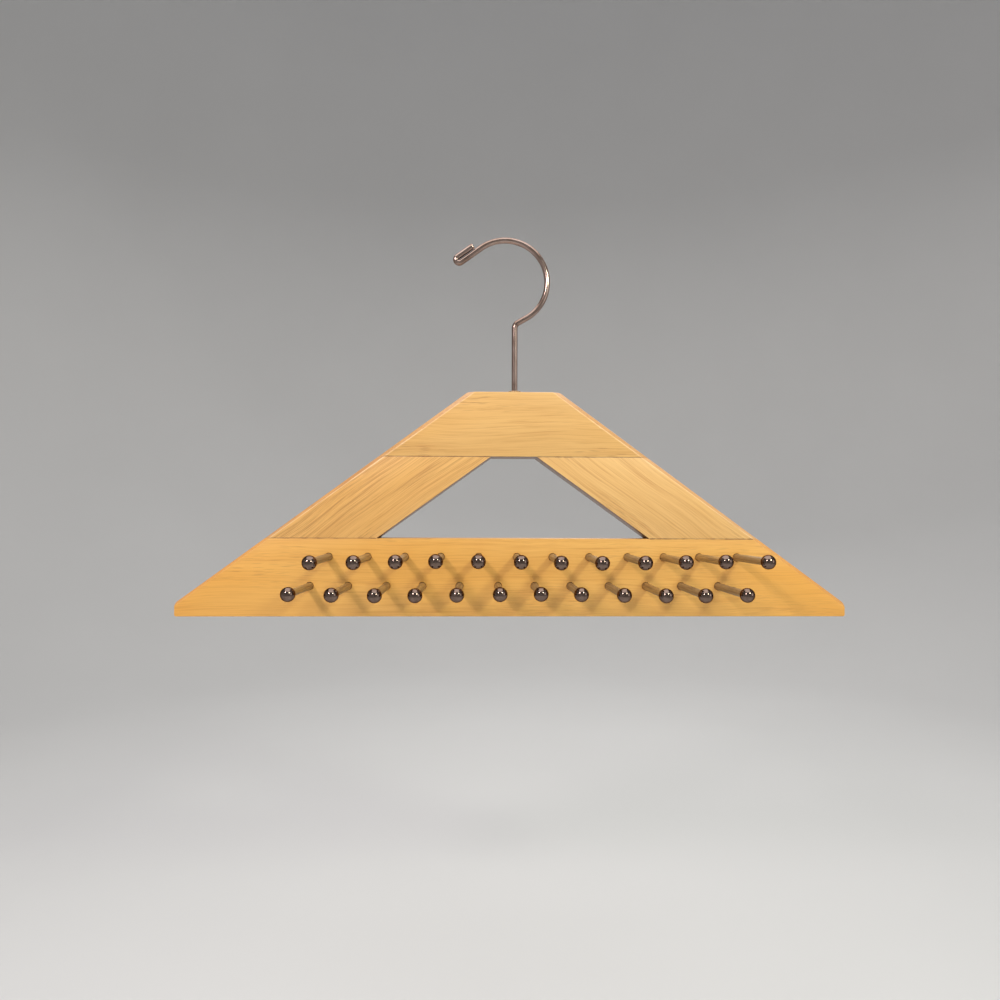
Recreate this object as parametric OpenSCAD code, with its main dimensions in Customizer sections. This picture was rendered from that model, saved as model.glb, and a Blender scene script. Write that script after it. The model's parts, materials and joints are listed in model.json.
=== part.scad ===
// Wooden tie hanger. A glued frame of four hardwood pieces carries two staggered rows of
// ball-tipped pegs. A wire hook turns freely in a flanged sleeve in the top block.
//
// The origin is on the inside of the hook's top, where it sits on a rail. +Z is up and +X is
// to the right as seen from the front. The pegs point to the front, towards -Y.

/* [Wood frame] */
// Width of the frame from tip to tip
frame_w = 430; // [400:1:460]
// Height of the bottom rail
rail_h = 49.8; // [46:0.2:56]
// Height of the two sloping arms, which is the window's height
arm_h = 52.6; // [44:0.2:60]
// Height of the top block
block_h = 42; // [38:0.2:50]
// Thickness of the wood
thick = 19; // [18:0.5:24]
// Length of the flat top edge
top_flat_w = 60.2; // [50:0.2:64]
// Width of the window along the top block
window_top_w = 29.4; // [24:0.2:36]
// Width of the window along the rail
window_bottom_w = 175.2; // [160:0.2:178]
// Height of the square cut at each tip
tip_h = 8.5; // [5:0.5:10]
// Width of the bevel on the sloping edges
bevel = 2.7; // [1:0.1:4]
// Rounding where the slopes meet the flat top
shoulder_r = 4; // [1:0.5:8]
// Rounding of the upper corner at each tip
tip_r = 3.5; // [1:0.5:4]
// Rounding of the lower corner at each tip
heel_r = 1.3; // [0.5:0.1:2]

/* [Pegs] */
// Pegs in each row
pegs_per_row = 12; // [6:1:12]
// Distance between neighbouring pegs of one row
peg_pitch = 23.8; // [20:0.1:25]
// Height of the upper row above the frame's bottom edge
upper_row_z = 37.9; // [36:0.1:39]
// Height of the lower row above the frame's bottom edge
lower_row_z = 19.3; // [14:0.1:22]
// Sideways offset of the lower row from the frame's middle
row_x = 1.5; // [-2:0.5:2]
// Diameter of a peg
peg_d = 4.7; // [4:0.1:5]
// Distance from the wood's face to the middle of a ball
peg_reach = 51; // [35:1:65]
// Depth of a peg in the rail
peg_depth = 12; // [9:0.5:14]
// Diameter of the ball on a peg
ball_d = 8.5; // [7.5:0.1:11]
// How far past the ball's middle the peg goes
socket_past = 0.8; // [0:0.1:1.5]
// How far the hand-drilled holes wander sideways
wander = 0.6; // [0:0.1:0.8]
// Largest tilt of a peg up or down, in degrees
tilt = 0.5; // [0:0.1:1]

/* [Hook] */
// Diameter of the hook's wire
wire_d = 3.8; // [3:0.1:4.2]
// Radius of the hook's curve, to the middle of the wire
hook_r = 27.6; // [24:0.2:32]
// Height of the rail's seat above the frame's top edge
seat_rise = 100; // [92:1:120]
// Distance of the shaft to the right of the curve's centre
hook_offset = 6.2; // [2:0.2:8]
// Where the curve ends and the straight run to the shaft begins, in degrees round the curve
join_angle = -60; // [-62:1:-45]
// Where the curve ends and the straight run to the tip begins, in degrees round the curve
tip_angle = 126; // [115:1:135]
// Radius of the bend at the top of the shaft, to the middle of the wire
neck_r = 4; // [2.5:0.1:5]
// Length of the straight run to the tip
tip_run = 16.2; // [14:0.2:20]
// Length of the wire folded back at the tip
fold_back = 12.5; // [8:0.5:13]
// Gap between the two legs of the folded tip
fold_gap = 0.4; // [0.3:0.1:1]

/* [Swivel] */
// How far to the right of the frame's middle the hook's bore was drilled
bore_x = 0.7; // [-1.5:0.1:1.5]
// Diameter of the sleeve's flange
flange_d = 9; // [8:0.2:12]
// Thickness of the sleeve's flange
flange_t = 1.6; // [0.8:0.1:2.5]
// Outside diameter of the sleeve
sleeve_d = 6; // [5.6:0.1:7]
// Length of the sleeve below the flange
sleeve_l = 18; // [12:0.5:22]
// Running clearance round the hook's shaft
shaft_gap = 0.06; // [0.03:0.01:0.1]
// Length of the swaged head under the sleeve
head_l = 2.5; // [1.5:0.1:3]
// Play between the sleeve and the swaged head
head_play = 0.3; // [0.1:0.1:0.6]

/* [Joinery] */
// Diameter of the hidden dowels in the glued joints
dowel_d = 6; // [5:0.5:8]
// Half the length of a hidden dowel
dowel_half = 12; // [9:0.5:12]
// Thickness of the glue line round pegs, dowels and the sleeve
glue = 0.05; // [0.02:0.01:0.1]

/* [Hidden] */
$fn = 64;
// How far joined shapes run into each other, how far cutters run past a face, and how much
// thinner the hook's straight stretches are than its bends.
lap = 0.1;
over = 1;
hair = 0.01;

frame_h = rail_h + arm_h + block_h;
arm_top = rail_h + arm_h;
front_y = -thick / 2;
wire_r = wire_d / 2;

// The swaged head clears the bore round it and the floor under it.
head_clear = 0.1;
floor_clear = 1;
head_d = sleeve_d - 2 * head_clear;
well_depth = sleeve_l + head_play + head_l + floor_clear;

// Distances of the hidden dowels from the frame's middle, at the top block and at the rail.
block_dowels = [43, 59];
rail_dowels = [107, 131];
// Colours of the pieces.
lacquered_wood = [0.93, 0.73, 0.44];
peg_wood = [0.66, 0.50, 0.28];
dark_chrome = [0.30, 0.27, 0.27];
nickel = [0.70, 0.62, 0.60];
old_brass = [0.55, 0.42, 0.28];

// The scatter of the holes repeats after this many degrees from one peg to the next, and each
// row starts at its own phase: upper row first, lower row second.
wander_step = 106;
wander_phase = [290, 255];
tilt_step = 52;
tilt_phase = [270, 140];
UPPER = 0;
LOWER = 1;
row_names = ["upper", "lower"];

function peg_name(kind, row, i) = str(kind, "_", row_names[row], i < 9 ? "_0" : "_", i + 1);
peg_numbers = [0 : pegs_per_row - 1];
WOOD = ["top_block", "left_arm", "right_arm", "peg_rail"];
DOWELS = ["dowels_top_left", "dowels_top_right", "dowels_rail_left", "dowels_rail_right"];
PEGS = [for (row = [UPPER, LOWER]) for (i = peg_numbers) peg_name("peg", row, i)];
TIPS = [for (row = [UPPER, LOWER]) for (i = peg_numbers) peg_name("tip", row, i)];

// ---- Outline of the frame -------------------------------------------------------------

slope_w = (frame_w - top_flat_w) / 2;
slope_h = frame_h - tip_h;
slope_angle = atan2(slope_h, slope_w);

// Half the frame's width, and half the window's width, at a height above the bottom edge.
function half_w(z) = top_flat_w / 2 + (frame_h - z) * slope_w / slope_h;
function half_window(z) =
    window_top_w / 2 + (arm_top - z) * (window_bottom_w - window_top_w) / 2 / arm_h;

// Points of a round corner of radius r at b, on the way from a to c.
function unit(v) = v / norm(v);
function corner(a, b, c, r, steps = 8) =
    r == 0 ? [b] :
    let (
        to_a = unit(a - b),
        to_c = unit(c - b),
        half = acos(to_a * to_c) / 2,
        centre = b + unit(to_a + to_c) * r / sin(half),
        first = b + to_a * r / tan(half) - centre,
        side = cross(to_a, to_c) < 0 ? 1 : -1,
        turn = side * (180 - 2 * half)
    )
    [for (k = [0 : steps])
        let (t = turn * k / steps)
        centre + [first.x * cos(t) - first.y * sin(t), first.x * sin(t) + first.y * cos(t)]];
function rounded(points, radii) =
    let (n = len(points))
    [for (k = [0 : n - 1])
        each corner(points[(k + n - 1) % n], points[k], points[(k + 1) % n], radii[k])];

block_outline = rounded(
    [[-half_w(arm_top), arm_top], [-top_flat_w / 2, frame_h],
     [top_flat_w / 2, frame_h], [half_w(arm_top), arm_top]],
    [0, shoulder_r, shoulder_r, 0]);
rail_outline = rounded(
    [[-frame_w / 2, 0], [-frame_w / 2, tip_h], [-half_w(rail_h), rail_h],
     [half_w(rail_h), rail_h], [frame_w / 2, tip_h], [frame_w / 2, 0]],
    [heel_r, tip_r, 0, 0, tip_r, heel_r]);
arm_outline = [
    [half_window(rail_h), rail_h], [half_w(rail_h), rail_h],
    [half_w(arm_top), arm_top], [half_window(arm_top), arm_top]];

// ---- Places ---------------------------------------------------------------------------

// Puts a piece from the frame's own coordinates, with its zero in the middle of the bottom
// edge, under the hook, so that the bore is in line with the shaft.
module in_frame() {
    translate([hook_offset - bore_x, 0, -seat_rise - frame_h]) children();
}

function row_z(row) = row == UPPER ? upper_row_z : lower_row_z;
function row_start(row) =
    row_x - peg_pitch * (pegs_per_row - 1) / 2 + (row == UPPER ? peg_pitch / 2 : 0);
function peg_x(row, i) =
    row_start(row) + i * peg_pitch + wander * sin(wander_step * i + wander_phase[row]);
function peg_tilt(row, i) = tilt * sin(tilt_step * i + tilt_phase[row]);

// Puts a piece on a peg's axis: zero is on the wood's face, and its +Z points to the front.
module at_peg(row, i) {
    translate([peg_x(row, i), front_y, row_z(row)])
        rotate([90 - peg_tilt(row, i), 0, 0]) children();
}

// Puts a piece on the axis of each hidden dowel of a joint, with zero on the joint's face.
module at_dowels(places, z, side) {
    for (x = places)
        translate([side * x, 0, z]) children();
}

// ---- Wood -----------------------------------------------------------------------------

// The bevels run the whole length of both slopes, on the front and on the back.
module slope_bevels() {
    side = bevel * sqrt(2);
    for (hand = [-1, 1])
        for (y = [-thick / 2, thick / 2])
            translate([hand * (half_w(0) + half_w(frame_h)) / 2, y, frame_h / 2])
                rotate([0, hand * slope_angle, 0])
                    rotate([45, 0, 0])
                        cube([frame_w, side, side], center = true);
}

module wood_piece(outline) {
    color(lacquered_wood)
        difference() {
            rotate([90, 0, 0])
                linear_extrude(thick, center = true) polygon(outline);
            slope_bevels();
            children();
        }
}

module dowel_holes(places, z) {
    for (side = [-1, 1])
        at_dowels(places, z, side)
            cylinder(h = 2 * dowel_half, d = dowel_d + 2 * glue, center = true);
}

module top_block() {
    in_frame()
        wood_piece(block_outline) {
            dowel_holes(block_dowels, arm_top);
            translate([bore_x, 0, frame_h - well_depth])
                cylinder(h = well_depth + over, d = sleeve_d + 2 * glue);
        }
}

module arm(hand) {
    in_frame()
        mirror([hand < 0 ? 1 : 0, 0, 0])
            wood_piece(arm_outline) {
                dowel_holes(block_dowels, arm_top);
                dowel_holes(rail_dowels, rail_h);
            }
}

module peg_rail() {
    in_frame()
        wood_piece(rail_outline) {
            dowel_holes(rail_dowels, rail_h);
            for (row = [UPPER, LOWER])
                for (i = peg_numbers)
                    at_peg(row, i)
                        translate([0, 0, -peg_depth])
                            cylinder(h = peg_depth + over, d = peg_d + 2 * glue);
        }
}

module dowels(places, z, side) {
    color(peg_wood)
        in_frame()
            at_dowels(places, z, side)
                cylinder(h = 2 * dowel_half, d = dowel_d, center = true);
}

// ---- Pegs -----------------------------------------------------------------------------

module peg(row, i) {
    color(peg_wood)
        in_frame()
            at_peg(row, i)
                translate([0, 0, -peg_depth])
                    cylinder(h = peg_depth + peg_reach + socket_past, d = peg_d);
}

module tip(row, i) {
    color(dark_chrome)
        in_frame()
            at_peg(row, i)
                translate([0, 0, peg_reach])
                    difference() {
                        sphere(d = ball_d);
                        translate([0, 0, -ball_d])
                            cylinder(h = ball_d + socket_past, d = peg_d + 2 * glue);
                    }
}

// ---- Hook and swivel ------------------------------------------------------------------

// The wire's path lies in the XZ plane, so its points are [x, z].
function around(centre, radius, angle) = centre + radius * [cos(angle), sin(angle)];

// A straight stretch laps into the bends at its ends and is a hair thinner than they are, so
// that the two meet in a clean edge.
module straight_wire(from, to) {
    along = to - from;
    translate([from.x, 0, from.y])
        rotate([0, atan2(along.x, along.y), 0])
            translate([0, 0, -lap])
                cylinder(h = norm(along) + 2 * lap, r = wire_r - hair);
}

module bent_wire(centre, radius, start, sweep) {
    translate([centre.x, 0, centre.y])
        rotate([90, 0, 0])
            rotate([0, 0, start])
                rotate_extrude(angle = sweep) translate([radius, 0]) circle(r = wire_r);
}

curve_centre = [0, wire_r - hook_r];
// The straight run from the curve to the shaft, and the bend between them.
join = around(curve_centre, hook_r, join_angle);
run_angle = 90 + join_angle;
neck_turn = 90 - run_angle;
neck_z = join.y - (join.x - hook_offset) * tan(run_angle) - neck_r * tan(neck_turn / 2);
neck_centre = [hook_offset + neck_r, neck_z];
// The straight run to the tip, and the wire folded back outside it.
tip_start = around(curve_centre, hook_r, tip_angle);
tip_end = around(tip_start, tip_run, tip_angle + 90);
fold_r = (wire_d + fold_gap) / 2;
fold_centre = around(tip_end, fold_r, tip_angle);
fold_start = around(fold_centre, fold_r, tip_angle);
fold_end = around(fold_start, fold_back, tip_angle - 90);
// The shaft ends in a swaged head that keeps the hook in its sleeve.
head_top = -seat_rise - sleeve_l - head_play;

module hook() {
    color(nickel)
        union() {
            translate([hook_offset, 0, head_top - head_l]) cylinder(h = head_l, d = head_d);
            straight_wire([hook_offset, head_top], [hook_offset, neck_z]);
            bent_wire(neck_centre, neck_r, 180 - neck_turn, neck_turn);
            straight_wire(around(neck_centre, neck_r, 180 - neck_turn), join);
            bent_wire(curve_centre, hook_r, join_angle, tip_angle - join_angle);
            straight_wire(tip_start, tip_end);
            bent_wire(fold_centre, fold_r, tip_angle, 180);
            straight_wire(fold_start, fold_end);
        }
}

module hook_sleeve() {
    color(old_brass)
        translate([hook_offset, 0, -seat_rise])
            difference() {
                union() {
                    cylinder(h = flange_t, d = flange_d);
                    translate([0, 0, -sleeve_l]) cylinder(h = sleeve_l + lap, d = sleeve_d);
                }
                translate([0, 0, -sleeve_l - over])
                    cylinder(h = sleeve_l + flange_t + 2 * over, r = wire_r + shaft_gap);
            }
}

// ---- Pieces ---------------------------------------------------------------------------

hook();
hook_sleeve();
top_block();
arm(-1);  // left_arm
arm(1);  // right_arm
peg_rail();
dowels(block_dowels, arm_top, -1);  // dowels_top_left
dowels(block_dowels, arm_top, 1);  // dowels_top_right
dowels(rail_dowels, rail_h, -1);  // dowels_rail_left
dowels(rail_dowels, rail_h, 1);  // dowels_rail_right
for (row = [UPPER, LOWER])
    for (i = peg_numbers) {
        peg(row, i);
        tip(row, i);
    }
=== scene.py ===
"""Looks of a wooden tie hanger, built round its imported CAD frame.

Four lacquered blocks make the hanger's frame. It carries two rows of dowel pegs with dark chrome
balls, and a plated wire hook that turns in a flanged sleeve. Each of them is a mesh made here,
which stands for its CAD node. Only the dowels hidden in the joints stay as CAD nodes. Places come
from the frame: the boxes of its nodes, its mounts and its joint.
"""

import json
import math

import bmesh
import bpy
from mathutils import Matrix, Vector, noise


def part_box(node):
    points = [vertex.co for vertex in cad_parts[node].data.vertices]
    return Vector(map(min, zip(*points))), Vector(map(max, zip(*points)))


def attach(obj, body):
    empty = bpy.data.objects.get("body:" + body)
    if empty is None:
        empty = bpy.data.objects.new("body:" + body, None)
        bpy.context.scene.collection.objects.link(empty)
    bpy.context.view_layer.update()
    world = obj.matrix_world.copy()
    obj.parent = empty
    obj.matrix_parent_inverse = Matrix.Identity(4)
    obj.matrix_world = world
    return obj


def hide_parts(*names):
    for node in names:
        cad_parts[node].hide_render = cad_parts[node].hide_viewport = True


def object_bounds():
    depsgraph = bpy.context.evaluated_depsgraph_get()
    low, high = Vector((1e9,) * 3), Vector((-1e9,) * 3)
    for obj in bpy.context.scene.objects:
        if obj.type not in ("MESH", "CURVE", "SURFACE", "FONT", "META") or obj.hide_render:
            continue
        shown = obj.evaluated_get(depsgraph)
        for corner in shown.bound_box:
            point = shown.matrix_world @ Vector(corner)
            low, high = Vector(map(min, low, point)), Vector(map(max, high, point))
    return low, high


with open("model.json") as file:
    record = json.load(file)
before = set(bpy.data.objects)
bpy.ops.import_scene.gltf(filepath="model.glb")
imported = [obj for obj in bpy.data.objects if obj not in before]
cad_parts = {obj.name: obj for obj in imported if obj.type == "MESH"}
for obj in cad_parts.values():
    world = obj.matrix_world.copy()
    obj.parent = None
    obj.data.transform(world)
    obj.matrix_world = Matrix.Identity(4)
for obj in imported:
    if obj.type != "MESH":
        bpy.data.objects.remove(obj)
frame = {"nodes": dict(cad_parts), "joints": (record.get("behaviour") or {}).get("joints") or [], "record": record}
CAD_LOW, CAD_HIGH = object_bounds()

MM = 0.001
UP = Vector((0, 0, 1))
DOWN = Vector((0, 0, -1))
INTO_DEPTH = Vector((0, 1, 0))
FRAME_BODY = "frame"
HOOK_BODY = "hook"
ROWS = ("upper", "lower")
PEGS_PER_ROW = sum(name.startswith("peg_upper_") for name in frame["nodes"])


# ---- Mesh helpers ----------------------------------------------------------------------------


def make_piece(name, mesh, material, body, node):
    """Shows a mesh as a piece that rides on a body and stands for a CAD node."""
    piece = bpy.data.objects.new(name, mesh)
    bpy.context.collection.objects.link(piece)
    piece.data.materials.clear()
    piece.data.materials.append(material)
    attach(piece, body)
    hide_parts(node)


def mesh_from(bm, name, sharp_angle=40):
    """Turns a bmesh into a smooth-shaded mesh, with the edges over an angle left sharp."""
    bmesh.ops.recalc_face_normals(bm, faces=bm.faces)
    mesh = bpy.data.meshes.new(name)
    bm.to_mesh(mesh)
    bm.free()
    mesh.shade_smooth()
    mesh.set_sharp_from_angle(angle=math.radians(sharp_angle))
    return mesh


def ring(bm, centre, across, up, radius, sides, wobble=None):
    """A ring of vertices round a centre. wobble(angle) scales its radius."""
    verts = []
    for k in range(sides):
        angle = math.tau * k / sides
        r = radius * (wobble(angle) if wobble else 1)
        verts.append(bm.verts.new(centre + r * (math.cos(angle) * across + math.sin(angle) * up)))
    return verts


def bridge(bm, first, second):
    """Faces between two rings of as many vertices."""
    for k in range(len(first)):
        after = (k + 1) % len(first)
        bm.faces.new((first[k], first[after], second[after], second[k]))


def turned(bm, profile, origin, direction, sides, wobble=None):
    """A closed turned shape. profile holds (distance along the axis, radius) from end to end."""
    direction = direction.normalized()
    across = direction.orthogonal().normalized()
    up = direction.cross(across)
    rings = []
    for along, radius in profile:
        shape = (lambda a, s=along: wobble(s, a)) if wobble else None
        rings.append(ring(bm, origin + along * direction, across, up, radius, sides, shape))
    for first, second in zip(rings, rings[1:]):
        bridge(bm, first, second)
    bm.faces.new(rings[0])
    bm.faces.new(rings[-1])


def rounded_corner(before, corner, after, radius, steps=8):
    """Points of a round corner on a 2D outline."""
    if radius == 0:
        return [corner]
    to_before = (before - corner).normalized()
    to_after = (after - corner).normalized()
    half = to_before.angle(to_after) / 2
    centre = corner + (to_before + to_after).normalized() * radius / math.sin(half)
    first = corner + to_before * radius / math.tan(half) - centre
    turn = math.pi - 2 * half
    if to_before.x * to_after.y - to_before.y * to_after.x > 0:
        turn = -turn
    return [centre + Matrix.Rotation(turn * k / steps, 2) @ first for k in range(steps + 1)]


def rounded_outline(corners):
    """An outline from (x, z, corner radius) triples."""
    points = [Vector(c[:2]) for c in corners]
    outline = []
    for k, (point, corner) in enumerate(zip(points, corners)):
        after = points[(k + 1) % len(points)]
        outline += rounded_corner(points[k - 1], point, after, corner[2])
    return outline


# ---- The frame's shape, from its CAD nodes -----------------------------------------------------

rail_low, rail_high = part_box("peg_rail")
block_low, block_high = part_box("top_block")
arm_low, arm_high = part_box("right_arm")

MIDDLE = (rail_low.x + rail_high.x) / 2
FRONT = rail_low.y
BACK = rail_high.y
BOTTOM = rail_low.z
RAIL_TOP = rail_high.z
ARM_TOP = block_low.z
TOP = block_high.z
HALF_FRAME = rail_high.x - MIDDLE
# Run of the outer slopes for each unit of height.
SLOPE_RUN = (arm_high.x - block_high.x) / (ARM_TOP - RAIL_TOP)
TIP_TOP = RAIL_TOP - (rail_high.x - arm_high.x) / SLOPE_RUN
HALF_WINDOW_TOP = arm_low.x - MIDDLE
HALF_WINDOW_SILL = 87.6 * MM

# The bevels' depth at the shoulders, and at the left (-1) and right (1) tip.
BEVEL_TOP = 3.0 * MM
BEVEL_TIP = {-1: 1.5 * MM, 1: 2.0 * MM}
# Rounding of the outer edges, and of those along the glued joints.
EDGE_EASE = 0.42 * MM
SEAM_EASE = 0.3 * MM
SHOULDER_R = 4 * MM
TIP_R = 3.5 * MM
HEEL_R = 1.3 * MM
GLUE_GAP = 0.05 * MM
RIM_EASE = 0.3 * MM
HOLE_SIDES = 32


def half_width(z):
    """Half the frame's width at a height."""
    return arm_high.x - MIDDLE - (z - RAIL_TOP) * SLOPE_RUN


def bevel_planes():
    """(point, outward normal) of the bevels along both slopes, on the front and on the back.
    Each bevel narrows from its shoulder down to its tip."""
    for hand in (-1, 1):
        shoulder = Vector((MIDDLE + hand * half_width(TOP), 0, TOP))
        tip = Vector((MIDDLE + hand * HALF_FRAME, 0, TIP_TOP))
        slope_out = Vector((hand, 0, SLOPE_RUN)).normalized()
        along = (tip - shoulder).normalized()
        narrowing = (BEVEL_TOP - BEVEL_TIP[hand]) / (tip - shoulder).length
        corner = shoulder - BEVEL_TOP * slope_out
        for y, face_out in ((FRONT, Vector((0, -1, 0))), (BACK, Vector((0, 1, 0)))):
            yield Vector((corner.x, y, corner.z)), slope_out + face_out - narrowing * along


def cut_bevels(bm):
    """Cuts a block along the bevels' planes and closes each cut with a face."""
    for point, normal in bevel_planes():
        geometry = bm.verts[:] + bm.edges[:] + bm.faces[:]
        cut = bmesh.ops.bisect_plane(
            bm, geom=geometry, dist=1e-7, plane_co=point, plane_no=normal, clear_outer=True)
        edges = [e for e in cut["geom_cut"] if isinstance(e, bmesh.types.BMEdge)]
        if edges:
            bmesh.ops.edgeloop_fill(bm, edges=edges)


def is_seam(edge):
    """True where an edge lies in one of the frame's glued joints."""
    a, b = (v.co for v in edge.verts)
    middle = (a + b) / 2
    for z, half_window in ((ARM_TOP, HALF_WINDOW_TOP), (RAIL_TOP, HALF_WINDOW_SILL)):
        if abs(a.z - z) < 1e-6 and abs(b.z - z) < 1e-6 and abs(middle.x - MIDDLE) > half_window:
            return True
    return False


def board_mesh(name, outline, cutters):
    """A block of the frame: an extruded outline, bevelled, eased along its edges and drilled."""
    bm = bmesh.new()
    front = [bm.verts.new((p.x, FRONT, p.y)) for p in outline]
    back = [bm.verts.new((p.x, BACK, p.y)) for p in outline]
    bm.faces.new(front)
    bm.faces.new(back)
    bridge(bm, front, back)
    bmesh.ops.recalc_face_normals(bm, faces=bm.faces)
    cut_bevels(bm)
    bmesh.ops.recalc_face_normals(bm, faces=bm.faces)
    weight = bm.edges.layers.float.new("bevel_weight_edge")
    for edge in bm.edges:
        if edge.calc_face_angle(0) > math.radians(15):
            edge[weight] = SEAM_EASE / EDGE_EASE if is_seam(edge) else 1
    mesh = bpy.data.meshes.new(name)
    bm.to_mesh(mesh)
    bm.free()

    board = bpy.data.objects.new(name + "_work", mesh)
    drill = bpy.data.objects.new(name + "_drill", mesh_from(cutters, name + "_drill"))
    for work in (board, drill):
        bpy.context.collection.objects.link(work)
    ease = board.modifiers.new("ease", "BEVEL")
    ease.width = EDGE_EASE
    ease.segments = 3
    ease.limit_method = "WEIGHT"
    holes = board.modifiers.new("holes", "BOOLEAN")
    holes.operation = "DIFFERENCE"
    holes.solver = "EXACT"
    holes.object = drill
    evaluated = board.evaluated_get(bpy.context.evaluated_depsgraph_get())
    result = bpy.data.meshes.new_from_object(evaluated)
    result.name = name
    for work in (board, drill):
        bpy.data.objects.remove(work)
    result.shade_smooth()
    result.set_sharp_from_angle(angle=math.radians(32))
    return result


# ---- Holes ------------------------------------------------------------------------------------


def peg_axis(row, number):
    """(point on the wood's face, direction to the front, radius, ball centre) of one peg."""
    low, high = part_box(f"peg_{row}_{number:02d}")
    tip_low, tip_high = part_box(f"tip_{row}_{number:02d}")
    ball_r = (tip_high.x - tip_low.x) / 2
    ball = Vector(((tip_low.x + tip_high.x) / 2, tip_low.y + ball_r, (tip_low.z + tip_high.z) / 2))
    direction = (ball - (low + high) / 2).normalized()
    face = ball + direction * (FRONT - ball.y) / direction.y
    return face, direction, (high.x - low.x) / 2, ball


def blind_hole(bm, mouth, inward, radius, depth):
    """A hole's solid with an eased mouth, for cutting."""
    outside = 1 * MM
    flare = radius + RIM_EASE + outside
    profile = [(-outside, flare), (RIM_EASE, radius), (depth, radius)]
    turned(bm, profile, mouth, inward, HOLE_SIDES)


def dowel_places(node):
    """(centre, radius, half length) of each hidden dowel of a joint."""
    low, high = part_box(node)
    radius = (high.y - low.y) / 2
    centre = (low + high) / 2
    for x in (low.x + radius, high.x - radius):
        yield Vector((x, centre.y, centre.z)), radius, (high.z - low.z) / 2


def dowel_holes(bm, *nodes):
    """The closed holes' solids round the hidden dowels of some joints, for cutting."""
    for node in nodes:
        for centre, radius, half in dowel_places(node):
            lower = centre - Vector((0, 0, half))
            profile = [(0, radius + GLUE_GAP), (2 * half, radius + GLUE_GAP)]
            turned(bm, profile, lower, UP, HOLE_SIDES)


# ---- Materials --------------------------------------------------------------------------------


class Graph:
    """A material's node tree, built with short calls."""

    def __init__(self, name):
        self.material = bpy.data.materials.new(name)
        self.material.use_nodes = True
        self.tree = self.material.node_tree
        self.shader = self.tree.nodes["Principled BSDF"]

    def put(self, socket, value):
        """Links a node's output to a socket, or sets the socket to a value."""
        if isinstance(value, bpy.types.NodeSocket):
            self.tree.links.new(value, socket)
        else:
            socket.default_value = value

    def node(self, kind, output=0, settings=None, **inputs):
        made = self.tree.nodes.new(kind)
        for key, value in (settings or {}).items():
            setattr(made, key, value)
        for key, value in inputs.items():
            self.put(made.inputs[key.replace("_", " ")], value)
        return made.outputs[output]

    def maths(self, operation, *values):
        made = self.tree.nodes.new("ShaderNodeMath")
        made.operation = operation
        for socket, value in zip(made.inputs, values):
            self.put(socket, value)
        return made.outputs[0]

    def added(self, first, second):
        made = self.tree.nodes.new("ShaderNodeVectorMath")
        self.put(made.inputs[0], first)
        self.put(made.inputs[1], second)
        return made.outputs[0]

    def object_coordinates(self):
        return self.node("ShaderNodeTexCoord", "Object")

    def mapped(self, vector, scale=(1, 1, 1), offset=(0, 0, 0), turn=(0, 0, 0)):
        return self.node(
            "ShaderNodeMapping", Vector=vector, Location=offset, Rotation=turn, Scale=scale)

    def noise(self, vector, detail=2.0, roughness=0.5):
        return self.node(
            "ShaderNodeTexNoise", "Fac", Vector=vector, Scale=1.0, Detail=detail, Roughness=roughness)

    def ranged(self, value, low, high, to_low=0.0, to_high=1.0, smooth=True):
        """A value's share of a range, as another range."""
        made = self.tree.nodes.new("ShaderNodeMapRange")
        made.interpolation_type = "SMOOTHSTEP" if smooth else "LINEAR"
        for socket, number in zip(made.inputs, (value, low, high, to_low, to_high)):
            self.put(socket, number)
        return made.outputs[0]

    def mixed(self, factor, first, second, blend="MIX"):
        made = self.tree.nodes.new("ShaderNodeMix")
        made.data_type = "RGBA"
        made.blend_type = blend
        for name, value in (("Factor_Float", factor), ("A_Color", first), ("B_Color", second)):
            socket = next(s for s in made.inputs if s.identifier == name)
            self.put(socket, (*value, 1) if isinstance(value, tuple) else value)
        return next(s for s in made.outputs if s.identifier == "Result_Color")

    def bump(self, height, strength, distance):
        return self.node("ShaderNodeBump", Height=height, Strength=strength, Distance=distance)

    def finish(self, **sockets):
        for key, value in sockets.items():
            if isinstance(value, tuple):
                value = (*value, 1)
            self.put(self.shader.inputs[key.replace("_", " ")], value)
        return self.material


def growth_rings(g, place, pith):
    """Bands round a line that lies off the board and wanders slowly along the grain."""
    drift = g.noise(g.mapped(place, scale=(9, 22, 22)), detail=2)
    parts = g.tree.nodes.new("ShaderNodeSeparateXYZ")
    g.put(parts.inputs[0], place)
    deep = g.maths("ADD", parts.outputs["Y"], pith)
    squares = (g.maths("MULTIPLY", v, v) for v in (deep, parts.outputs["Z"]))
    radius = g.maths("SQRT", g.maths("ADD", *squares))
    wandering = g.maths("ADD", radius, g.maths("MULTIPLY", drift, 14 * MM))
    ring_place = g.node("ShaderNodeCombineXYZ", X=wandering)
    return g.noise(g.mapped(ring_place, scale=(330, 1, 1)), detail=3, roughness=0.6)


def edge_masks(g):
    """Three masks: 1 on bevels and side faces (partly painted shade), on the rounded edges (painted highlight),
    and on faces that look down (painted shade).
    """
    parts = g.tree.nodes.new("ShaderNodeSeparateXYZ")
    g.put(parts.inputs[0], g.node("ShaderNodeTexCoord", "Normal"))
    facing = g.maths("ABSOLUTE", parts.outputs["Y"])
    cut = g.ranged(facing, 0.90, 0.74)
    painted_edge_glint = g.maths("MULTIPLY", g.ranged(facing, 0.74, 0.86), g.ranged(facing, 0.995, 0.94))
    under = g.ranged(parts.outputs["Z"], -0.35, -0.6)
    return cut, painted_edge_glint, under


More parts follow.
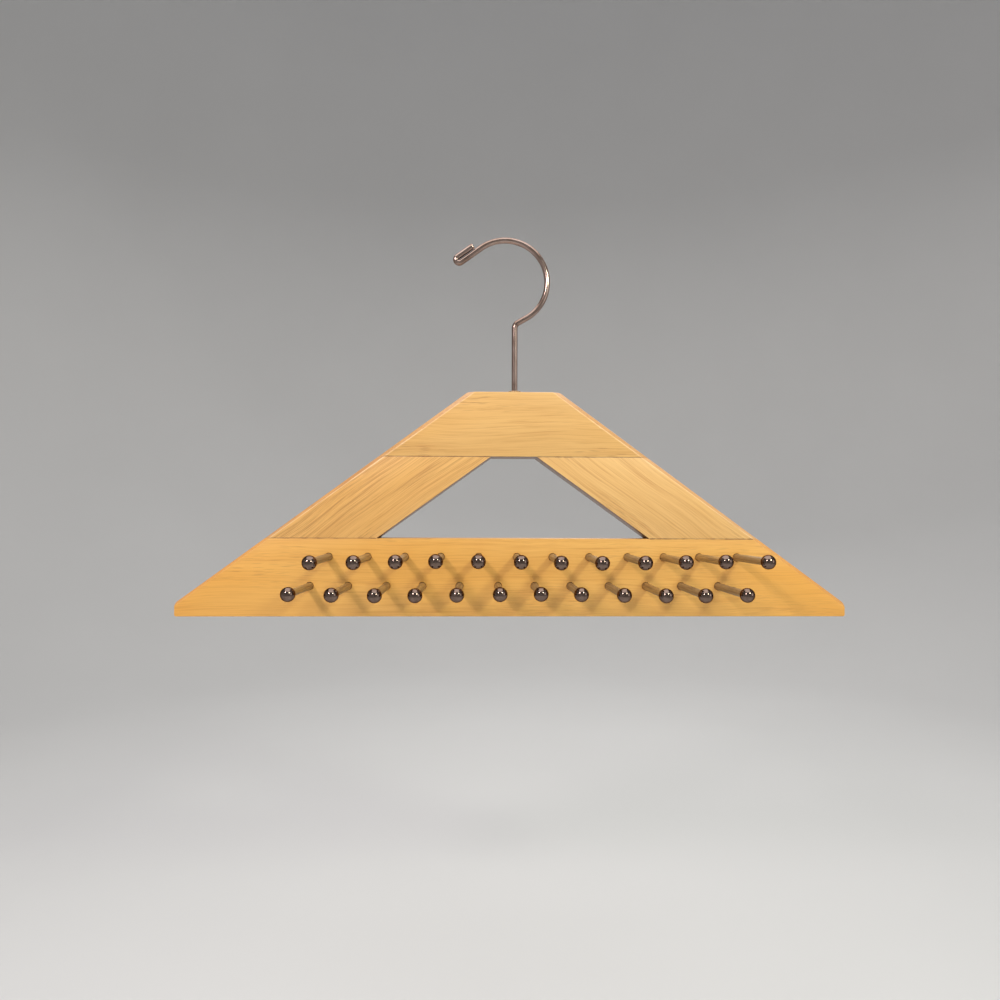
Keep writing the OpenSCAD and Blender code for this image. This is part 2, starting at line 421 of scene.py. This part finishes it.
def seam_mask(g, place, seams):
    """1 along the glued joints. seams holds (height, half the window's width there)."""
    parts = g.tree.nodes.new("ShaderNodeSeparateXYZ")
    g.put(parts.inputs[0], place)
    sideways = g.maths("ABSOLUTE", g.maths("SUBTRACT", parts.outputs["X"], MIDDLE))
    chips = g.noise(g.mapped(place, scale=(330, 330, 330)), detail=3, roughness=0.7)
    total = 0.0
    for z, half_window in seams:
        away = g.maths("ABSOLUTE", g.maths("SUBTRACT", parts.outputs["Z"], z))
        ragged = g.maths("SUBTRACT", away, g.maths("MULTIPLY", chips, 0.8 * MM))
        fading = g.ranged(g.noise(g.mapped(place, scale=(110, 110, 110)), detail=2), 0.36, 0.60, 0.3)
        line = g.maths("MULTIPLY", g.ranged(ragged, 0.02 * MM, -0.2 * MM), fading)
        beside = g.maths("GREATER_THAN", sideways, half_window + 0.3 * MM)
        total = g.maths("ADD", total, g.maths("MULTIPLY", line, beside))
    return total


def scaled(colour, *factors):
    """A colour with its red, green and blue each multiplied by a factor."""
    return tuple(c * f for c, f in zip(colour, factors))


def lacquered_wood(name, grain_turn, offset, honey, shade, figure, pith, seams, lines,
                   smoke=0.0, orange=0.0):
    """Straight-grained pale wood under satin lacquer. The grain runs along X after grain_turn, and
    offset is the part's place in the pattern. honey and shade are its light and dark tones, and
    figure and lines are how strong its growth rings and its grain lines show. pith moves the
    rings' centre further off the board, which makes them straighter. smoke is how strong its
    grey-brown streaks are, and orange how much deeper its colour is towards its ends."""
    g = Graph(name)
    at = g.object_coordinates()
    place = g.mapped(at, offset=offset, turn=(0, grain_turn, 0))
    late_wood = g.ranged(growth_rings(g, place, pith), 0.50, 0.72)

    # Fibres, grain lines and pores: long thin streaks along the grain, which wanders a little.
    sway = g.noise(g.mapped(place, scale=(14, 30, 30), offset=(8, 3, 6)), detail=1)
    shift = g.node("ShaderNodeCombineXYZ", Z=g.maths("MULTIPLY", sway, 7 * MM))
    bent = g.added(place, shift)
    fibre = g.noise(g.mapped(bent, scale=(26, 1500, 1500)), detail=3, roughness=0.7)
    line = g.noise(g.mapped(bent, scale=(17, 1050, 1050), offset=(2, 7, 1)), detail=3, roughness=0.6)
    broad = g.noise(g.mapped(bent, scale=(5, 90, 90)), detail=2)
    patch = g.noise(g.mapped(place, scale=(7, 18, 18), offset=(3, 1, 2)), detail=2)
    pore_cells = g.node(
        "ShaderNodeTexVoronoi", "Distance", Vector=g.mapped(bent, scale=(75, 1900, 1900)),
        Scale=1.0, Randomness=1.0)
    some = g.noise(g.mapped(place, scale=(14, 60, 60), offset=(5, 5, 5)), detail=1)
    pores = g.maths(
        "MULTIPLY", g.ranged(pore_cells, 0.36, 0.16), g.ranged(some, 0.46, 0.68))

    colour = g.mixed(g.ranged(broad, 0.32, 0.72), honey, shade)
    warm = scaled(honey, 0.97, 0.86, 0.55)
    colour = g.mixed(g.maths("MULTIPLY", g.ranged(patch, 0.45, 0.75), 0.5), colour, warm)
    if orange:
        x = g.tree.nodes.new("ShaderNodeSeparateXYZ")
        g.put(x.inputs[0], at)
        aside = g.maths("ABSOLUTE", g.maths("SUBTRACT", x.outputs["X"], MIDDLE))
        tipwards = g.ranged(aside, 0.45 * HALF_FRAME, HALF_FRAME)
        uneven = g.ranged(patch, 0.3, 0.6, 0.5)
        tipwards = g.maths("MULTIPLY", g.maths("MULTIPLY", tipwards, uneven), orange)
        colour = g.mixed(tipwards, colour, scaled(honey, 0.98, 0.80, 0.42))
    late = g.maths("MULTIPLY", late_wood, figure)
    colour = g.mixed(late, colour, scaled(shade, 0.80, 0.66, 0.48))
    streak = g.maths("MULTIPLY", g.ranged(fibre, 0.42, 0.72), 0.42)
    colour = g.mixed(streak, colour, scaled(shade, 0.80, 0.68, 0.50))
    dark_line = g.maths("MULTIPLY", g.ranged(line, 0.52, 0.68), lines)
    colour = g.mixed(dark_line, colour, scaled(shade, 0.64, 0.44, 0.28))
    if smoke:
        cloud = g.ranged(g.noise(g.mapped(place, scale=(7, 60, 60), offset=(1, 9, 4)), detail=3),
                         0.36, 0.62)
        hairs = g.ranged(fibre, 0.44, 0.60, 0.08)
        smoky = g.maths("MULTIPLY", g.maths("MULTIPLY", cloud, hairs), smoke)
        colour = g.mixed(smoky, colour, scaled(shade, 0.52, 0.43, 0.38))
    colour = g.mixed(g.maths("MULTIPLY", pores, 1.4 * lines), colour, (0.30, 0.13, 0.04))

    cut, painted_edge_glint, under = edge_masks(g)
    # Bevels and side faces are made darker and pinker: partly the cut grain's deeper stain, partly painted shade.
    colour = g.mixed(cut, colour, (0.86, 0.79, 0.93), "MULTIPLY")
    # A pale line along the rounded edges, broken up by noise: a painted highlight.
    glint_breakup = g.ranged(g.noise(g.mapped(place, scale=(50, 200, 200)), detail=3), 0.3, 0.65, 0.1, 0.65)
    colour = g.mixed(g.maths("MULTIPLY", painted_edge_glint, glint_breakup), colour, (0.94, 0.68, 0.38))
    # Faces that look down are painted dark brown: painted shade.
    colour = g.mixed(g.maths("MULTIPLY", under, 0.9), colour, (0.12, 0.055, 0.02))
    seam = g.maths("MULTIPLY", seam_mask(g, at, seams), g.maths("SUBTRACT", 1.0, cut))
    colour = g.mixed(g.maths("MULTIPLY", seam, 0.8), colour, (0.17, 0.075, 0.025))

    height = g.maths("SUBTRACT", g.maths("MULTIPLY", fibre, 0.25), pores)
    rough = g.ranged(fibre, 0.2, 0.9, 0.36, 0.52, smooth=False)
    return g.finish(
        Base_Color=colour, Roughness=rough, Coat_Weight=0.35, Coat_Roughness=0.2,
        Normal=g.bump(height, 0.12, 0.08 * MM))


def dowel_wood():
    """Bare turned dowel: browner than the frame, with dark streaks along its length."""
    g = Graph("peg_dowel")
    place = g.object_coordinates()
    each = g.noise(g.mapped(place, scale=(60, 0, 60)), detail=0)
    fibre = g.noise(g.mapped(place, scale=(1300, 34, 1300)), detail=4, roughness=0.6)
    smudge = g.noise(g.mapped(place, scale=(300, 110, 300)), detail=3)
    pore_cells = g.node(
        "ShaderNodeTexVoronoi", "Distance", Vector=g.mapped(place, scale=(1500, 180, 1500)),
        Scale=1.0, Randomness=1.0)
    pores = g.ranged(pore_cells, 0.30, 0.10)
    colour = g.mixed(g.ranged(each, 0.35, 0.65), (0.39, 0.222, 0.065), (0.30, 0.19, 0.08))
    dark = g.maths("MULTIPLY", g.ranged(fibre, 0.44, 0.66), 0.8)
    colour = g.mixed(dark, colour, (0.155, 0.075, 0.025))
    grey = g.maths("MULTIPLY", g.ranged(smudge, 0.48, 0.72), 0.45)
    colour = g.mixed(grey, colour, (0.21, 0.135, 0.065))
    colour = g.mixed(g.maths("MULTIPLY", pores, 0.5), colour, (0.11, 0.055, 0.02))
    height = g.maths("SUBTRACT", fibre, pores)
    return g.finish(
        Base_Color=colour, Roughness=g.ranged(fibre, 0.2, 0.9, 0.42, 0.66, smooth=False),
        Coat_Weight=0.12, Coat_Roughness=0.3, Normal=g.bump(height, 0.25, 0.08 * MM))


def dark_chrome():
    """Dark brown-black chrome of the balls, with faint haze and hairline scratches."""
    g = Graph("tip_dark_chrome")
    place = g.object_coordinates()
    haze = g.noise(g.mapped(place, scale=(420, 420, 420)), detail=3)
    scratch = g.noise(g.mapped(place, scale=(400, 6000, 2500)), detail=2)
    colour = g.mixed(g.ranged(haze, 0.3, 0.75), (0.21, 0.15, 0.125), (0.15, 0.105, 0.085))
    height = g.ranged(scratch, 0.62, 0.70)
    return g.finish(
        Base_Color=colour, Metallic=1.0, Roughness=g.ranged(haze, 0.3, 0.8, 0.07, 0.15),
        Specular_Tint=(0.30, 0.20, 0.15),
        Normal=g.bump(height, 0.05, 0.02 * MM))


def wire_plating():
    """Warm nickel over copper on drawn wire. The mesh gives each point its place on the wire."""
    g = Graph("hook_plating")
    place = g.node("ShaderNodeAttribute", "Vector", settings={"attribute_name": "wire"})
    draw = g.noise(g.mapped(place, scale=(2600, 2600, 24)), detail=3, roughness=0.6)
    tarnish = g.noise(g.mapped(place, scale=(260, 260, 90)), detail=3)
    colour = g.mixed(g.ranged(tarnish, 0.40, 0.72), (0.41, 0.31, 0.27), (0.28, 0.19, 0.15))
    colour = g.mixed(g.maths("MULTIPLY", g.ranged(draw, 0.45, 0.8), 0.35), colour, (0.20, 0.125, 0.095))
    return g.finish(
        Base_Color=colour, Metallic=1.0, Roughness=g.ranged(draw, 0.25, 0.8, 0.12, 0.24),
        Specular_Tint=(0.45, 0.33, 0.28),
        Normal=g.bump(draw, 0.10, 0.03 * MM))


def sleeve_brass():
    """Dull brown brass of the hook's sleeve."""
    g = Graph("sleeve_brass")
    place = g.object_coordinates()
    tarnish = g.noise(g.mapped(place, scale=(700, 700, 700)), detail=4)
    colour = g.mixed(g.ranged(tarnish, 0.35, 0.7), (0.52, 0.34, 0.17), (0.26, 0.15, 0.075))
    return g.finish(
        Base_Color=colour, Metallic=1.0, Roughness=g.ranged(tarnish, 0.3, 0.8, 0.28, 0.5),
        Normal=g.bump(tarnish, 0.08, 0.03 * MM))


# ---- Wood -------------------------------------------------------------------------------------

SLOPE_ANGLE = math.atan2(1, SLOPE_RUN)

# Light and dark tone of each wooden part.
BLOCK_TONES = ((0.78, 0.47, 0.163), (0.71, 0.41, 0.133))
LEFT_ARM_TONES = ((0.83, 0.485, 0.16), (0.76, 0.425, 0.135))
RIGHT_ARM_TONES = ((0.85, 0.53, 0.20), (0.79, 0.47, 0.165))
RAIL_TONES = ((0.84, 0.47, 0.12), (0.79, 0.42, 0.098))

# Where each part lies in the pattern of the grain, so that no two look alike.
BLOCK_GRAIN = (0.31, 0.02, 0.26)
LEFT_ARM_GRAIN = (0.27, 0.11, 0.03)
RIGHT_ARM_GRAIN = (0.52, 0.05, 0.17)
RAIL_GRAIN = (0.11, 0.07, 0.29)

# How far the growth rings' centre is moved off the board, besides the place in the pattern.
BLOCK_PITH = 0.05
ARM_PITH = 0.03
RAIL_PITH = 0.04

LEFT_ARM_SMOKE = 0.42
RIGHT_ARM_SMOKE = 0.12


def build_block():
    """The top block, with the hook's bore and the upper joints' dowel holes."""
    holes = bmesh.new()
    dowel_holes(holes, "dowels_top_left", "dowels_top_right")
    sleeve_low, sleeve_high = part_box("hook_sleeve")
    head_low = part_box("hook")[0].z
    centre = Vector(((sleeve_low.x + sleeve_high.x) / 2, 0, TOP))
    room_below = 1 * MM
    blind_hole(holes, centre, DOWN, SLEEVE_R + GLUE_GAP, TOP - head_low + room_below)
    half_top, half_foot = half_width(TOP), half_width(ARM_TOP)
    outline = rounded_outline([
        (MIDDLE - half_foot, ARM_TOP, 0), (MIDDLE - half_top, TOP, SHOULDER_R),
        (MIDDLE + half_top, TOP, SHOULDER_R), (MIDDLE + half_foot, ARM_TOP, 0),
        (MIDDLE + HALF_WINDOW_TOP, ARM_TOP, 0), (MIDDLE - HALF_WINDOW_TOP, ARM_TOP, 0)])
    wood = lacquered_wood(
        "wood_block", 0, BLOCK_GRAIN, *BLOCK_TONES, figure=0.3, pith=BLOCK_PITH,
        seams=[(ARM_TOP, HALF_WINDOW_TOP)], lines=0.4)
    mesh = board_mesh("block", outline, holes)
    make_piece("block", mesh, wood, FRAME_BODY, "top_block")


def build_arm(hand, side, offset, tones, smoke):
    """A sloping arm: hand is -1 on the left and 1 on the right."""
    holes = bmesh.new()
    dowel_holes(holes, f"dowels_top_{side}", f"dowels_rail_{side}")
    corners = [
        (HALF_WINDOW_SILL, RAIL_TOP), (half_width(RAIL_TOP), RAIL_TOP),
        (half_width(ARM_TOP), ARM_TOP), (HALF_WINDOW_TOP, ARM_TOP)]
    outline = [Vector((MIDDLE + hand * x, z)) for x, z in corners]
    wood = lacquered_wood(
        f"wood_arm_{side}", -hand * SLOPE_ANGLE, offset, *tones, figure=0.2, pith=ARM_PITH,
        seams=[(ARM_TOP, 0), (RAIL_TOP, 0)], lines=0.42, smoke=smoke)
    mesh = board_mesh(f"arm_{side}", outline, holes)
    make_piece(f"arm_{side}", mesh, wood, FRAME_BODY, f"{side}_arm")


def build_rail():
    """The bottom rail, with a blind hole for each peg."""
    holes = bmesh.new()
    dowel_holes(holes, "dowels_rail_left", "dowels_rail_right")
    for row in ROWS:
        for number in range(1, PEGS_PER_ROW + 1):
            face, direction, radius, _ = peg_axis(row, number)
            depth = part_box(f"peg_{row}_{number:02d}")[1].y - FRONT
            blind_hole(holes, face, -direction, radius + GLUE_GAP, depth)
    half_top = half_width(RAIL_TOP)
    outline = rounded_outline([
        (rail_low.x, BOTTOM, HEEL_R), (rail_low.x, TIP_TOP, TIP_R),
        (MIDDLE - half_top, RAIL_TOP, 0), (MIDDLE - HALF_WINDOW_SILL, RAIL_TOP, 0),
        (MIDDLE + HALF_WINDOW_SILL, RAIL_TOP, 0), (MIDDLE + half_top, RAIL_TOP, 0),
        (rail_high.x, TIP_TOP, TIP_R), (rail_high.x, BOTTOM, HEEL_R)])
    wood = lacquered_wood(
        "wood_rail", 0, RAIL_GRAIN, *RAIL_TONES, figure=0.22, pith=RAIL_PITH,
        seams=[(RAIL_TOP, HALF_WINDOW_SILL)], lines=0.24, orange=0.6)
    mesh = board_mesh("rail", outline, holes)
    make_piece("rail", mesh, wood, FRAME_BODY, "peg_rail")


# ---- Pegs -------------------------------------------------------------------------------------

PEG_SIDES = 28
PEG_RINGS = 24
PEG_EASE = 0.4 * MM
# How far a peg is out of round, as a share of its radius, and how slowly that changes along it.
OUT_OF_ROUND = 0.018
UNEVEN_LENGTH = 18 * MM

BALL_SIDES = 48
BALL_RINGS = 30
# Angle that the ball's small flat end face leaves open at its pole.
NEARLY_POLE = 0.02


def build_peg(row, number, material):
    """A turned dowel, very slightly out of round, with an eased inner end."""
    face, direction, radius, _ = peg_axis(row, number)
    node = f"peg_{row}_{number:02d}"
    low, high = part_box(node)
    start, end = -(high.y - FRONT), FRONT - low.y
    full = start + PEG_EASE
    profile = [(start, radius - PEG_EASE)]
    profile += [(full + (end - full) * k / PEG_RINGS, radius) for k in range(PEG_RINGS + 1)]
    # Sets each peg's unevenness apart from the others'.
    seed = Vector((number * 3.1, ROWS.index(row) * 7.7, 0))

    def wobble(along, angle):
        place = Vector((math.cos(angle), math.sin(angle), along / UNEVEN_LENGTH)) + seed
        return 1 - OUT_OF_ROUND * (0.5 + 0.5 * noise.noise(place))

    bm = bmesh.new()
    turned(bm, profile, face, direction, PEG_SIDES, wobble)
    mesh = mesh_from(bm, f"dowel_{row}_{number:02d}", sharp_angle=50)
    make_piece(mesh.name, mesh, material, FRAME_BODY, node)


def build_ball(row, number, material):
    """A ball with a blind socket for its peg."""
    _, direction, radius, ball = peg_axis(row, number)
    node = f"tip_{row}_{number:02d}"
    tip_low, tip_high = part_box(node)
    ball_r = (tip_high.x - tip_low.x) / 2
    socket_r = radius + GLUE_GAP
    socket_end = ball.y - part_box(f"peg_{row}_{number:02d}")[0].y
    mouth = math.asin(socket_r / ball_r)
    profile = [(socket_end, socket_r)]
    for k in range(BALL_RINGS + 1):
        angle = mouth + (math.pi - NEARLY_POLE - mouth) * k / BALL_RINGS
        profile.append((-ball_r * math.cos(angle), ball_r * math.sin(angle)))
    bm = bmesh.new()
    turned(bm, profile, ball, direction, BALL_SIDES)
    mesh = mesh_from(bm, f"ball_{row}_{number:02d}", sharp_angle=50)
    make_piece(mesh.name, mesh, material, FRAME_BODY, node)


# ---- Hook -------------------------------------------------------------------------------------

SEAT = Vector(next(m for m in frame["record"]["mounts"] if m["name"] == "rod_seat")["pos_m"])
SHAFT_X = next(j for j in frame["joints"] if j["name"] == "hook_swivel")["pos_m"][0]

WIRE_SIDES = 32
WIRE_R = 1.9 * MM
# Radii of the middle of the wire, in the big curve and in the bend above the shaft.
HOOK_R = 27.6 * MM
NECK_R = 4 * MM
# Where the big curve meets the neck and where it ends, as angles above the horizontal.
JOIN_ANGLE = math.radians(-60)
TIP_ANGLE = math.radians(126)
# The straight run to the tip, the fold's radius, and the wire's run back beside itself.
TIP_RUN = 16.2 * MM
FOLD_R = 2.1 * MM
FOLD_BACK = 12.5 * MM
# The swaged head that keeps the shaft in its sleeve.
HEAD_R = 2.9 * MM
HEAD_LENGTH = 2.5 * MM
HEAD_RIM = 0.3 * MM
# The slightly rounded cut end of the wire.
BURR = 0.25 * MM
SLEEVE_R = 3 * MM
SLEEVE_SIDES = 40
SLEEVE_RIM = 0.35 * MM
WIRE_PLAY = 0.06 * MM


def around(centre, radius, angle):
    """A point round a centre, in the hook's XZ plane."""
    return centre + radius * Vector((math.cos(angle), 0, math.sin(angle)))


def arc(centre, radius, start, end, steps):
    """Points of an arc in the hook's XZ plane, both ends among them."""
    return [around(centre, radius, start + (end - start) * k / steps) for k in range(steps + 1)]


def hook_path(foot):
    """Points along the middle of the wire, from its foot in the sleeve to the cut end."""
    curve = SEAT - Vector((0, 0, HOOK_R - WIRE_R))
    join = around(curve, HOOK_R, JOIN_ANGLE)
    run_angle = math.pi / 2 + JOIN_ANGLE
    turn = math.pi / 2 - run_angle
    neck_z = join.z - (join.x - SHAFT_X) * math.tan(run_angle) - NECK_R * math.tan(turn / 2)
    neck = Vector((SHAFT_X + NECK_R, 0, neck_z))
    tip_start = around(curve, HOOK_R, TIP_ANGLE)
    tip_end = around(tip_start, TIP_RUN, TIP_ANGLE + math.pi / 2)
    fold = around(tip_end, FOLD_R, TIP_ANGLE)
    fold_start = around(fold, FOLD_R, TIP_ANGLE)
    cut_end = around(fold_start, FOLD_BACK, TIP_ANGLE - math.pi / 2)
    points = [Vector((SHAFT_X, 0, foot + (neck_z - foot) * k / 20)) for k in range(20)]
    points += arc(neck, NECK_R, math.pi, math.pi - turn, 10)
    points += arc(curve, HOOK_R, JOIN_ANGLE, TIP_ANGLE, 90)
    points += [tip_start.lerp(tip_end, k / 8) for k in range(1, 8)]
    points += arc(fold, FOLD_R, TIP_ANGLE + math.pi, TIP_ANGLE, 16)
    points += [fold_start.lerp(cut_end, k / 8) for k in range(1, 9)]
    return points


def swept_wire(bm, points):
    """A round wire swept along a path in the XZ plane. Its vertices know their place on it."""
    place = bm.verts.layers.float_vector.new("wire")
    rings = []
    along = 0
    for k, point in enumerate(points):
        before = points[max(k - 1, 0)]
        after = points[min(k + 1, len(points) - 1)]
        up = INTO_DEPTH.cross(after - before).normalized()
        along += (point - before).length
        verts = ring(bm, point, INTO_DEPTH, up, WIRE_R, WIRE_SIDES)
        for n, vert in enumerate(verts):
            angle = math.tau * n / WIRE_SIDES
            vert[place] = (WIRE_R * math.cos(angle), WIRE_R * math.sin(angle), along)
        rings.append(verts)
    for first, second in zip(rings, rings[1:]):
        bridge(bm, first, second)
    return rings


def build_hook():
    """The wire hook, with its folded tip and the swaged head at the foot of its shaft."""
    head_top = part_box("hook")[0].z + HEAD_LENGTH
    bm = bmesh.new()
    rings = swept_wire(bm, hook_path(head_top))
    place = bm.verts.layers.float_vector["wire"]

    end = rings[-1]
    centre = sum((v.co for v in end), Vector()) / WIRE_SIDES
    centre_before = sum((v.co for v in rings[-2]), Vector()) / WIRE_SIDES
    direction = (centre - centre_before).normalized()
    for distance, radius in ((BURR * 0.4, WIRE_R - BURR * 0.3), (BURR, WIRE_R - BURR)):
        verts = ring(
            bm, centre + distance * direction, INTO_DEPTH, INTO_DEPTH.cross(direction), radius,
            WIRE_SIDES)
        for old, new in zip(end, verts):
            new[place] = old[place]
        bridge(bm, end, verts)
        end = verts
    bm.faces.new(end)

    foot = Vector((SHAFT_X, 0, head_top))
    last = rings[0]
    levels = [
        (0, HEAD_R - HEAD_RIM), (HEAD_RIM, HEAD_R), (HEAD_LENGTH - HEAD_RIM, HEAD_R),
        (HEAD_LENGTH, HEAD_R - HEAD_RIM)]
    for distance, radius in levels:
        verts = ring(
            bm, foot + distance * DOWN, INTO_DEPTH, INTO_DEPTH.cross(UP), radius, WIRE_SIDES)
        bridge(bm, last, verts)
        last = verts
    bm.faces.new(last)
    mesh = mesh_from(bm, "wire_hook", sharp_angle=50)
    make_piece("wire_hook", mesh, wire_plating(), HOOK_BODY, "hook")


def build_sleeve():
    """The flanged sleeve, with a turned-over rim and a through bore."""
    low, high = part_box("hook_sleeve")
    flange_r = (high.x - low.x) / 2
    bore_r = WIRE_R + WIRE_PLAY
    rim = SLEEVE_RIM
    across = Vector((1, 0, 0))
    foot = Vector((SHAFT_X, 0, low.z))
    flange_low = TOP - low.z
    flange_high = high.z - low.z
    profile = [
        (0, bore_r), (0, SLEEVE_R), (flange_low, SLEEVE_R), (flange_low, flange_r - rim * 0.3),
        (flange_low + rim * 0.3, flange_r)]
    profile += [
        (flange_high - rim + rim * math.sin(a), flange_r - rim + rim * math.cos(a))
        for a in (math.pi / 2 * k / 5 for k in range(6))]
    profile += [(flange_high, bore_r + rim), (flange_high - rim, bore_r)]
    bm = bmesh.new()
    rings = [
        ring(bm, foot + rise * UP, across, UP.cross(across), radius, SLEEVE_SIDES)
        for rise, radius in profile]
    for first, second in zip(rings, rings[1:] + rings[:1]):
        bridge(bm, first, second)
    mesh = mesh_from(bm, "flanged_sleeve", sharp_angle=50)
    make_piece("flanged_sleeve", mesh, sleeve_brass(), FRAME_BODY, "hook_sleeve")


# ---- Stage ------------------------------------------------------------------------------------

CENTRE = (CAD_LOW + CAD_HIGH) / 2

FLOOR_DROP = 0.35
FLOOR_R = 1.4
COVE_R = 0.9
WALL_TOP = 2.6
FLOOR_SIDES = 96

# Places of the lights, from the middle of the board's front.
LAMP_SIZE = (0.15, 0.12)
LAMP_LEFT = Vector((-0.46, -0.70, 0.465))
LAMP_RIGHT = Vector((0.46, -0.70, 0.465))
OVERHEAD = Vector((0, 0, 1.2))
SIDE = Vector((1.3, -0.7, 0.25))
BACK_FILL = Vector((0.5, 1.4, 0.9))
WARM_WHITE = (1.0, 0.99, 0.97)
ROOM_COLOUR = (0.86, 0.87, 0.90, 1)
ROOM_STRENGTH = 0.38

# The camera, from the middle, the front and the bottom of the rail.
CAMERA_ASIDE = -20.6 * MM
CAMERA_AWAY = 457.9 * MM
CAMERA_RISE = 64.8 * MM
CAMERA_LENS = 25.67
CAMERA_YAW = math.radians(-1.47)
CAMERA_PITCH = math.radians(1.22)
CAMERA_ROLL = math.radians(-0.19)


def build_stage():
    """A pale floor that sweeps up all round into a low wall, well away from the object."""
    profile = [(1 * MM, 0)]
    profile += [(FLOOR_R * k / 6, 0) for k in range(1, 7)]
    profile += [
        (FLOOR_R + COVE_R * math.sin(a), COVE_R * (1 - math.cos(a)))
        for a in (math.pi / 2 * k / 12 for k in range(1, 13))]
    profile.append((FLOOR_R + COVE_R, WALL_TOP))
    bm = bmesh.new()
    middle = Vector((CENTRE.x, CENTRE.y, CAD_LOW.z - FLOOR_DROP))
    rings = [
        ring(bm, middle + rise * UP, Vector((1, 0, 0)), INTO_DEPTH, radius, FLOOR_SIDES)
        for radius, rise in profile]
    for first, second in zip(rings, rings[1:]):
        bridge(bm, first, second)
    bm.faces.new(rings[0])
    mesh = mesh_from(bm, "floor")
    floor = bpy.data.objects.new("floor", mesh)
    bpy.context.collection.objects.link(floor)
    g = Graph("pale_floor")
    tone = g.noise(g.mapped(g.object_coordinates(), scale=(3, 3, 3)), detail=2)
    mesh.materials.append(g.finish(
        Base_Color=g.mixed(tone, (0.66, 0.655, 0.65), (0.70, 0.695, 0.69)), Roughness=0.9))


def area_light(name, place, target, size, power, colour):
    """A rectangular light that faces a target and isn't seen itself."""
    data = bpy.data.lights.new(name, "AREA")
    data.shape = "RECTANGLE"
    data.size, data.size_y = size
    data.energy = power
    data.color = colour
    light = bpy.data.objects.new(name, data)
    light.location = place
    light.rotation_euler = (target - place).to_track_quat("-Z", "Y").to_euler()
    light.visible_camera = False
    bpy.context.collection.objects.link(light)


def build_lights():
    """Two lamps in front and above cross their shadows under the pegs, with soft fill."""
    board = Vector((MIDDLE, FRONT, (BOTTOM + TOP) / 2))
    area_light("lamp_left", board + LAMP_LEFT, board, LAMP_SIZE, 3.5, (1.0, 0.90, 0.93))
    area_light("lamp_right", board + LAMP_RIGHT, board, LAMP_SIZE, 3.1, (0.94, 1.0, 0.83))
    area_light("overhead", board + OVERHEAD, board, (1.6, 2.0), 17, WARM_WHITE)
    area_light("side", board + SIDE, board, (0.5, 0.7), 1.7, (1.0, 0.97, 0.95))
    area_light("back_fill", board + BACK_FILL, board, (1.0, 0.8), 5, WARM_WHITE)
    world = bpy.data.worlds.new("soft_room")
    world.use_nodes = True
    background = world.node_tree.nodes["Background"]
    background.inputs["Color"].default_value = ROOM_COLOUR
    background.inputs["Strength"].default_value = ROOM_STRENGTH
    bpy.context.scene.world = world


def build_camera():
    """A phone's wide camera, half a metre in front of the rail and a little left of its middle."""
    data = bpy.data.cameras.new("camera")
    data.sensor_width = 36
    data.lens = CAMERA_LENS
    camera = bpy.data.objects.new("camera", data)
    camera.location = Vector((MIDDLE + CAMERA_ASIDE, FRONT - CAMERA_AWAY, BOTTOM + CAMERA_RISE))
    yaw = Matrix.Rotation(CAMERA_YAW, 3, "Z")
    pitch = Matrix.Rotation(CAMERA_PITCH, 3, "X")
    roll = Matrix.Rotation(CAMERA_ROLL, 3, "Y")
    turn = yaw @ pitch @ roll
    # Looks level along the depth, with Z up.
    level = Matrix(((1, 0, 0), (0, 0, -1), (0, 1, 0)))
    camera.rotation_euler = (turn @ level).to_euler()
    data.clip_start = 0.01
    bpy.context.collection.objects.link(camera)
    bpy.context.scene.camera = camera


def finish_hidden_dowels():
    """The dowels inside the joints stay as CAD nodes, in the pegs' wood."""
    wood = bpy.data.materials["peg_dowel"]
    for name, node in frame["nodes"].items():
        if name.startswith("dowels_"):
            node.data.materials.clear()
            node.data.materials.append(wood)


build_camera()
build_stage()
build_lights()
build_block()
build_arm(-1, "left", LEFT_ARM_GRAIN, LEFT_ARM_TONES, LEFT_ARM_SMOKE)
build_arm(1, "right", RIGHT_ARM_GRAIN, RIGHT_ARM_TONES, RIGHT_ARM_SMOKE)
build_rail()
peg_material = dowel_wood()
ball_material = dark_chrome()
for row in ROWS:
    for number in range(1, PEGS_PER_ROW + 1):
        build_peg(row, number, peg_material)
        build_ball(row, number, ball_material)
build_hook()
build_sleeve()
finish_hidden_dowels()

bpy.context.scene.view_settings.view_transform = "Standard"
